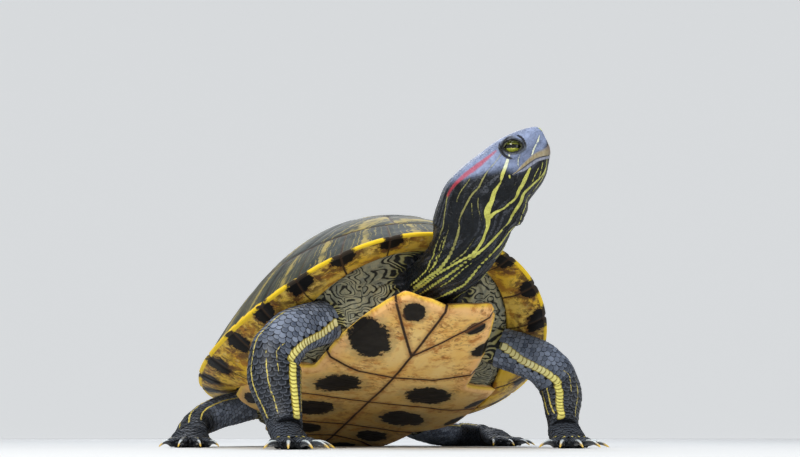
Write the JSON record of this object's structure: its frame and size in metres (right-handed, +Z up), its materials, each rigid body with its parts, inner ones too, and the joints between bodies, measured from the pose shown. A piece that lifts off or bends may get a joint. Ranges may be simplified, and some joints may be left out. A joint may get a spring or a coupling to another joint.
{
  "type": "red-eared slider turtle model",
  "caption": "Life-size still model of an adult red-eared slider turtle, propped up on its forelegs with its head raised and turned to its left.",
  "frame": {"origin": "on the floor, under the middle of the turtle's box", "axes": "+Z up; the turtle faces -Y, with its left side towards +X"},
  "size_m": [0.2167, 0.2613, 0.1419],
  "materials": {
    "carapace": "satin horn plates, olive-black with yellow bars and a yellow underside to the rim",
    "plastron": "polished yellow-orange horn plates with black spots and brown stains",
    "skin": "scaly skin, black-green with yellow stripes and a red stripe behind each eye",
    "claw": "blue-grey horn with yellow tips",
    "eye": "wet, yellow-green iris with a dark bar through the pupil"
  },
  "bodies": {
    "root": {"carapace": "carapace", "plastron": "plastron", "trunk": "skin", "neck": "skin", "head": "skin", "lower_jaw": "skin", "eye_left": "eye", "eye_right": "eye", "tail": "skin", "foreleg_right_upper": "skin", "foreleg_right_lower": "skin", "foreleg_right_foot": "skin", "foreleg_right_claw_1": "claw", "foreleg_right_claw_2": "claw", "foreleg_right_claw_3": "claw", "foreleg_right_claw_4": "claw", "foreleg_right_claw_5": "claw", "foreleg_left_upper": "skin", "foreleg_left_lower": "skin", "foreleg_left_foot": "skin", "foreleg_left_claw_1": "claw", "foreleg_left_claw_2": "claw", "foreleg_left_claw_3": "claw", "foreleg_left_claw_4": "claw", "foreleg_left_claw_5": "claw", "hindleg_right_upper": "skin", "hindleg_right_lower": "skin", "hindleg_right_foot": "skin", "hindleg_right_claw_1": "claw", "hindleg_right_claw_2": "claw", "hindleg_right_claw_3": "claw", "hindleg_right_claw_4": "claw", "hindleg_left_upper": "skin", "hindleg_left_lower": "skin", "hindleg_left_foot": "skin", "hindleg_left_claw_1": "claw", "hindleg_left_claw_2": "claw", "hindleg_left_claw_3": "claw", "hindleg_left_claw_4": "claw"}
  },
  "joints": []
}
